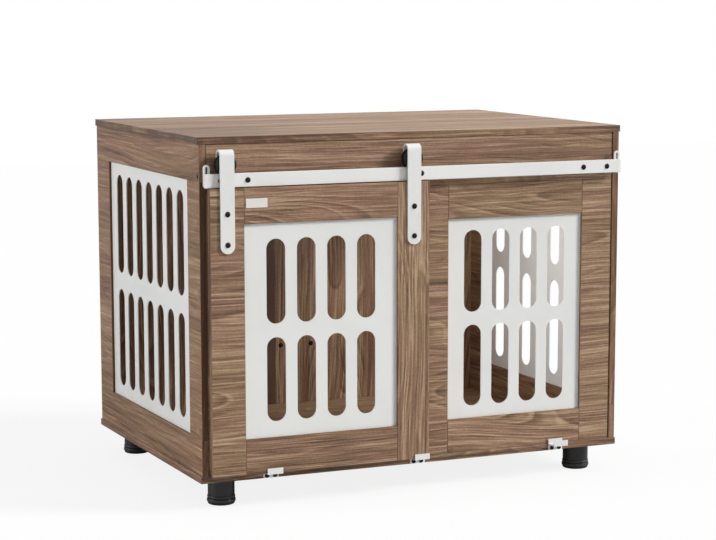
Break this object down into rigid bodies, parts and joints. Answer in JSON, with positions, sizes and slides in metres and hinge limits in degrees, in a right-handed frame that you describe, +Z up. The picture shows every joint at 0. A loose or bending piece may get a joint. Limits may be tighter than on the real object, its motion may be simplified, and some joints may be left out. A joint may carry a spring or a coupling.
{
  "type": "dog crate end table",
  "caption": "Wooden dog crate that doubles as an end table: a cabinet on round feet with slotted white grilles and a door that slides sideways on rollers along an overhead track.",
  "frame": {"origin": "on the floor, under the middle of the overall box, the hanger bolts counted in its depth", "axes": "+X to the right along the width as the front is faced, +Y from the front to the back, +Z up"},
  "size_m": [0.8, 0.586, 0.628],
  "materials": {
    "walnut_board": "matt walnut laminate with visible grain",
    "back_board": "matt walnut laminate, thin sheet",
    "dowel_wood": "plain beech",
    "white_metal": "white powder coat, satin",
    "black_steel": "black oxide",
    "zinc_steel": "zinc plated",
    "black_plastic": "satin black moulding"
  },
  "bodies": {
    "cabinet": {"back_panel": "back_board", "back_panel_nails": "zinc_steel", "back_panel_screws": "black_steel", "base_screws": "zinc_steel", "bottom_board": "walnut_board", "end_stop_left": "white_metal", "end_stop_right": "white_metal", "fascia_board": "walnut_board", "fascia_dowels": "dowel_wood", "fixed_panel_bottom_rail": "walnut_board", "fixed_panel_dowels": "dowel_wood", "fixed_panel_grille": "white_metal", "fixed_panel_left_stile": "walnut_board", "fixed_panel_right_stile": "walnut_board", "fixed_panel_top_rail": "walnut_board", "floor_guide_left": "white_metal", "floor_guide_middle": "white_metal", "floor_guide_right": "white_metal", "foot_front_left": "black_plastic", "foot_front_right": "black_plastic", "foot_rear_left": "black_plastic", "foot_rear_right": "black_plastic", "foot_studs": "zinc_steel", "guide_screws": "black_steel", "left_side_bottom_rail": "walnut_board", "left_side_dowels": "dowel_wood", "left_side_front_stile": "walnut_board", "left_side_grille": "white_metal", "left_side_rear_stile": "walnut_board", "left_side_top_rail": "walnut_board", "right_side_bottom_rail": "walnut_board", "right_side_dowels": "dowel_wood", "right_side_front_stile": "walnut_board", "right_side_grille": "white_metal", "right_side_rear_stile": "walnut_board", "right_side_top_rail": "walnut_board", "side_screws": "black_steel", "top_board": "walnut_board", "top_dowels": "dowel_wood", "track_bar": "white_metal", "track_bolts": "black_steel", "track_spacers": "black_steel"},
    "door": {"door_bottom_rail": "walnut_board", "door_dowels": "dowel_wood", "door_grille": "white_metal", "door_left_stile": "walnut_board", "door_right_stile": "walnut_board", "door_top_rail": "walnut_board", "hanger_bolts": "black_steel", "hanger_left": "white_metal", "hanger_right": "white_metal", "name_plate": "white_metal", "roller_axles": "zinc_steel"},
    "roller_left": {"roller_left": "black_plastic"},
    "roller_right": {"roller_right": "black_plastic"}
  },
  "joints": [
    {"name": "door_slide", "type": "slide", "parent": "cabinet", "child": "door", "axis": [1, 0, 0], "range_m": [-0.0075, 0.381]},
    {"name": "roller_left_spin", "type": "hinge", "parent": "door", "child": "roller_left", "pos_m": [-0.3565, -0.28, 0.5827], "axis": [0, 1, 0], "continuous": true},
    {"name": "roller_right_spin", "type": "hinge", "parent": "door", "child": "roller_right", "pos_m": [-0.017, -0.28, 0.5827], "axis": [0, 1, 0], "continuous": true}
  ],
  "couplings": [
    {"joint": "roller_left_spin", "follows": "door_slide", "rad_per_m": 71.429},
    {"joint": "roller_right_spin", "follows": "door_slide", "rad_per_m": 71.429}
  ]
}
